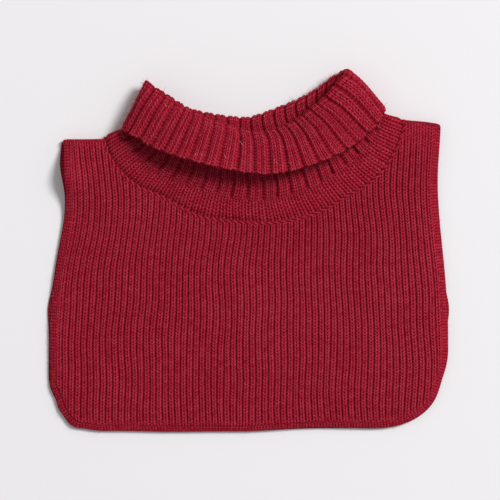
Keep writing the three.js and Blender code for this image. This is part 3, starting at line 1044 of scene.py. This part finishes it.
def top_at(piece, x, y):
    """The highest place of a piece near x and y."""
    middle, _, _ = surface_of(piece)
    near = middle[np.hypot(middle[:, 0] - x, middle[:, 1] - y) < LINT_REACH]
    return near[near[:, 2].argmax()]


def level(degrees):
    turned = np.radians(degrees)
    return np.stack([np.cos(turned), np.sin(turned), 0 * turned], 1)


lint_starts = np.array([top_at(ribbed_collar, *row[:2]) for row in LINT]) + (0, 0, 0.1)
lint_turns, lint_lengths = np.array([row[2:] for row in LINT]).T
lint = strands("pale_lint", lint_starts, level(lint_turns), lint_lengths, 0.14)

# piece, x, y, direction in degrees, length
STRAYS = [
    (ribbed_collar, -57, 108, 80, 4),
    (ribbed_collar, 91, 96.5, 45, 5.8),
    (front_band, -100.5, -121.6, 240, 5.6),
    (front_band, 129, 20, 5, 3.4),
    (front_band, -125, 73, 150, 4),
]
stray_starts = np.array([top_at(*row[:3]) for row in STRAYS])
stray_turns, stray_lengths = np.array([row[3:] for row in STRAYS]).T
strays = strands("stray_hairs", stray_starts, level(stray_turns), stray_lengths, 0.15)

# %% [markdown]
# ## Red wool
#
# The yarn is matt and deep red, a little lighter where loose fibres catch the light. Painted
# shade darkens it deep between the stitches: in the grooves, on the lines between courses and
# in the little holes, and a painted highlight lightens the legs of the stitches. The map that
# came with each grid counts stitches, so it tells where the legs and the little holes are, and
# three sizes of noise on Object coordinates make the cloth, the stitches and the fibres uneven.

# %% Wool material
NOISES = [(14, 2), (420, 2), (1900, 3)]  # scale and detail for the cloth, stitches and fibres
STREAKS = (1.3, 0.16, 1)  # along the wales


# deep and light are the ramp's ends, reached by painted shade and painted highlight as well as
# by the yarn's random tone; the three shares set how much painted shade and highlight each
# gets.
def wool(name, deep, middle, light, groove_shade_share, leg_highlight_share, hole_shade_share):
    material = bpy.data.materials.new(name)
    material.use_nodes = True
    tree = material.node_tree
    tree.nodes.clear()

    def node(kind, inputs=None, **settings):
        made = tree.nodes.new(kind)
        for key, value in settings.items():
            setattr(made, key, value)
        for key, value in (inputs or {}).items():
            if isinstance(value, bpy.types.NodeSocket):
                tree.links.new(value, made.inputs[key])
            else:
                made.inputs[key].default_value = value
        return made

    def maths(operation, a, b=0.0, **settings):
        return node("ShaderNodeMath", {0: a, 1: b}, operation=operation, **settings).outputs[0]

    def ramp(value, low, high):
        inputs = {"Value": value, "From Min": low, "From Max": high}
        made = node("ShaderNodeMapRange", inputs, interpolation_type="SMOOTHSTEP")
        return made.outputs["Result"]

    def noise(scale, detail):
        inputs = {"Vector": place.outputs["Object"], "Scale": scale, "Detail": detail}
        return node("ShaderNodeTexNoise", inputs).outputs["Fac"]

    place = node("ShaderNodeTexCoord")
    stitch_map = node("ShaderNodeUVMap", uv_map="stitches").outputs[0]
    split = node("ShaderNodeSeparateXYZ", {0: stitch_map}).outputs
    height_for_shade = node("ShaderNodeAttribute", attribute_name="height_for_shade").outputs["Fac"]

    # Within one stitch: distance from the middle of the V, and from the middle of its height.
    across, along = (
        maths("ABSOLUTE", maths("SUBTRACT", maths("FRACT", split[k]), 0.5)) for k in (0, 1)
    )
    # Painted shade: the lines between courses (between) and the little holes (hole) darken the
    # colour below; both also shape the bump.
    between = ramp(along, 0.22, 0.5)
    hole = maths("MULTIPLY", ramp(across, 0.15, 0.02), between)
    # Painted highlight: the legs of the stitches are lighter in colour, and they shape the bump
    # too.
    off_leg = maths("ABSOLUTE", maths("SUBTRACT", across, 0.24))
    leg = maths("SUBTRACT", 1.0, ramp(off_leg, 0.04, 0.24))
    whole = node("ShaderNodeCombineXYZ", {k: maths("FLOOR", split[k]) for k in (0, 1)})
    inputs = {"Vector": whole.outputs[0]}
    chance = node("ShaderNodeTexWhiteNoise", inputs, noise_dimensions="2D")
    cloth, stitch, fibre = (noise(*row) for row in NOISES)
    stretched = node("ShaderNodeVectorMath", {0: stitch_map, 1: STREAKS}, operation="MULTIPLY")
    inputs = {"Vector": stretched.outputs[0]}
    streak = node("ShaderNodeTexNoise", inputs, noise_dimensions="2D")

    # The shade is a sum of parts: what varies, the value that adds nothing, and its share. The
    # noises are the wool's own uneven tone; the legs add a painted highlight and the yarn's
    # height adds painted shade.
    shade = 0.57
    for value, neutral, share in (
        (cloth, 0.5, 0.2),
        (stitch, 0.5, 0.3),
        (fibre, 0.5, 2.1),
        (chance.outputs["Value"], 0.5, 0.16),
        (streak.outputs["Fac"], 0.5, 0.12),
        (leg, 0.5, leg_highlight_share),
        # Painted shade: low yarn, in the grooves and between the seam's strands, is darkened.
        (height_for_shade, 1.0, groove_shade_share),
    ):
        part = maths("MULTIPLY", maths("SUBTRACT", value, neutral), share)
        shade = maths("ADD", shade, part)
    # Painted shade along the lines between courses and in the little holes.
    shade = maths("SUBTRACT", shade, maths("MULTIPLY", between, 0.36))
    shade = maths("SUBTRACT", shade, maths("MULTIPLY", hole, hole_shade_share), use_clamp=True)
    colours = node("ShaderNodeValToRGB", {0: shade})
    colours.color_ramp.elements[0].color = (*deep, 1)
    colours.color_ramp.elements[1].color = (*light, 1)
    colours.color_ramp.elements.new(0.5).color = (*middle, 1)

    rough = node("ShaderNodeMapRange", {"Value": fibre, "To Min": 0.82, "To Max": 1.0})
    yarn = maths("SUBTRACT", maths("MULTIPLY", leg, 0.7), maths("MULTIPLY", between, 0.5))
    yarn = maths("SUBTRACT", yarn, hole)
    yarn = maths("ADD", maths("MULTIPLY", fibre, 0.9), yarn)
    bump = node("ShaderNodeBump", {"Strength": 0.8, "Distance": 0.0006, "Height": yarn})
    surface = {
        "Base Color": colours.outputs[0],
        "Roughness": rough.outputs[0],
        "Normal": bump.outputs[0],
        "Specular IOR Level": 0.02,
        "Sheen Weight": 0.1,
        "Sheen Roughness": 0.5,
        "Sheen Tint": (0.95, 0.16, 0.24, 1),
    }
    node("ShaderNodeOutputMaterial", {0: node("ShaderNodeBsdfPrincipled", surface).outputs[0]})
    return material


def matt(name, colour):
    material = bpy.data.materials.new(name)
    material.use_nodes = True
    shader = material.node_tree.nodes["Principled BSDF"]
    shader.inputs["Base Color"].default_value = (*colour, 1)
    shader.inputs["Roughness"].default_value = 0.9
    shader.inputs["Specular IOR Level"].default_value = 0.1
    return material


# The deep end is the wool in painted shade, a purer, deeper red, and the light end the wool in
# painted highlight, pinker; the yarn's random tone reaches both ends too.
DEEP_AND_SHADED_RED = (0.17, 0.0004, 0.004)
MIDDLE_RED = (0.365, 0.0088, 0.0275)
LIGHT_AND_HIGHLIT_RED = (0.49, 0.056, 0.089)
REDS = DEEP_AND_SHADED_RED, MIDDLE_RED, LIGHT_AND_HIGHLIT_RED
panel_wool = wool("red wool in fine ribs", *REDS, 0.1, 0.35, 0.22)
collar_wool = wool("red wool in broad ribs", *REDS, 0.22, 0.33, 0.42)
trim_wool = wool("red wool in plain stitch", *REDS, 0.25, 0.15, 0.05)
seam_wool = wool("red wool in linked loops", *REDS, 1.0, 0.1, 0)
for piece, material in (
    (front_bib, panel_wool),
    (back_bib, panel_wool),
    (ribbed_collar, collar_wool),
    (plain_ring, collar_wool),
    (linked_seam, seam_wool),
    (front_band, trim_wool),
    (back_band, trim_wool),
    (left_shoulder, trim_wool),
    (right_shoulder, trim_wool),
    (surface_fibres, matt("loose red wool", (0.58, 0.07, 0.1))),
    (halo_fibres, matt("pale red fluff", (0.55, 0.14, 0.17))),
    (strays, matt("stray red wool", (0.45, 0.03, 0.05))),
    (lint, matt("pale lint", (0.8, 0.42, 0.42))),
):
    piece.data.materials.append(material)
    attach(piece, "root")

# %% [markdown]
# ## What was cut flat
#
# Each bib is a sheet with its bands and shoulder rolls on it, and the collar is a sheet with
# the ring and the seam on it, folded over once. Their sizes are measured on the finished
# outline and wall.


bib_outline = outline(0)
bib_outline[:, 1] = np.minimum(bib_outline[:, 1], SHOULDERS["right"]["inner"][1])
up_wall = np.linspace(1, EDGE_UP, 200)
collar_tall = steps_of(wall(np.full(200, 0.25), up_wall)).sum()

# %% [markdown]
# ## Floor, light and camera
#
# One large soft light comes from the right, so the shadows fall to the left, and a pale sky
# fills the rest. The light is a wide disk a few metres off, so the near side, at the upper
# right, gets a little more of it. The camera looks straight down through a long lens.

# %% Stage
FLOOR_HALF = 2.5
FLOOR_Z = -0.0002  # just under the wool
FRAME_MM = 340.0
LOOK_AT = (1.2, 0.3)
CAMERA_HEIGHT = 2.0
FRAME_HEIGHT = 0.008  # the frame's width is measured this far above the floor
SENSOR = 36.0
SKY = 0.38
KEY = 2.7  # watts for each square metre that faces it, at the origin
KEY_SOFTNESS = 20  # degrees across
KEY_FROM = Vector((0.82, 0.5, 1.1)).normalized()
KEY_DISTANCE = 6.0

bm = bmesh.new()
bmesh.ops.create_grid(bm, x_segments=1, y_segments=1, size=FLOOR_HALF)
bmesh.ops.translate(bm, verts=bm.verts, vec=(0, 0, FLOOR_Z))
floor_mesh = bpy.data.meshes.new("floor")
bm.to_mesh(floor_mesh)
bm.free()
floor = in_scene("floor", floor_mesh)
floor_mesh.materials.append(matt("pale paper", (0.86, 0.843, 0.86)))

world = bpy.data.worlds.new("studio")
bpy.context.scene.world = world
world.use_nodes = True
background = world.node_tree.nodes["Background"]
background.inputs["Color"].default_value = (1, 1, 1, 1)
background.inputs["Strength"].default_value = SKY

lamp_data = bpy.data.lights.new("soft key light", "AREA")
lamp_data.shape = "DISK"
lamp_data.size = 2 * KEY_DISTANCE * math.tan(math.radians(KEY_SOFTNESS / 2))
lamp_data.energy = KEY * math.pi * KEY_DISTANCE**2
lamp = in_scene("soft key light", lamp_data)
lamp.location = KEY_FROM * KEY_DISTANCE
lamp.rotation_euler = KEY_FROM.to_track_quat("Z", "Y").to_euler()

camera_data = bpy.data.cameras.new("overhead camera")
camera_data.sensor_width = SENSOR
camera_data.lens = SENSOR * (CAMERA_HEIGHT - FRAME_HEIGHT) / (FRAME_MM * MM)
camera = in_scene("overhead camera", camera_data)
camera.location = (LOOK_AT[0] * MM, LOOK_AT[1] * MM, CAMERA_HEIGHT)
bpy.context.scene.camera = camera
bpy.context.scene.view_settings.view_transform = "Standard"
print("lens", round(camera_data.lens, 1), "mm")
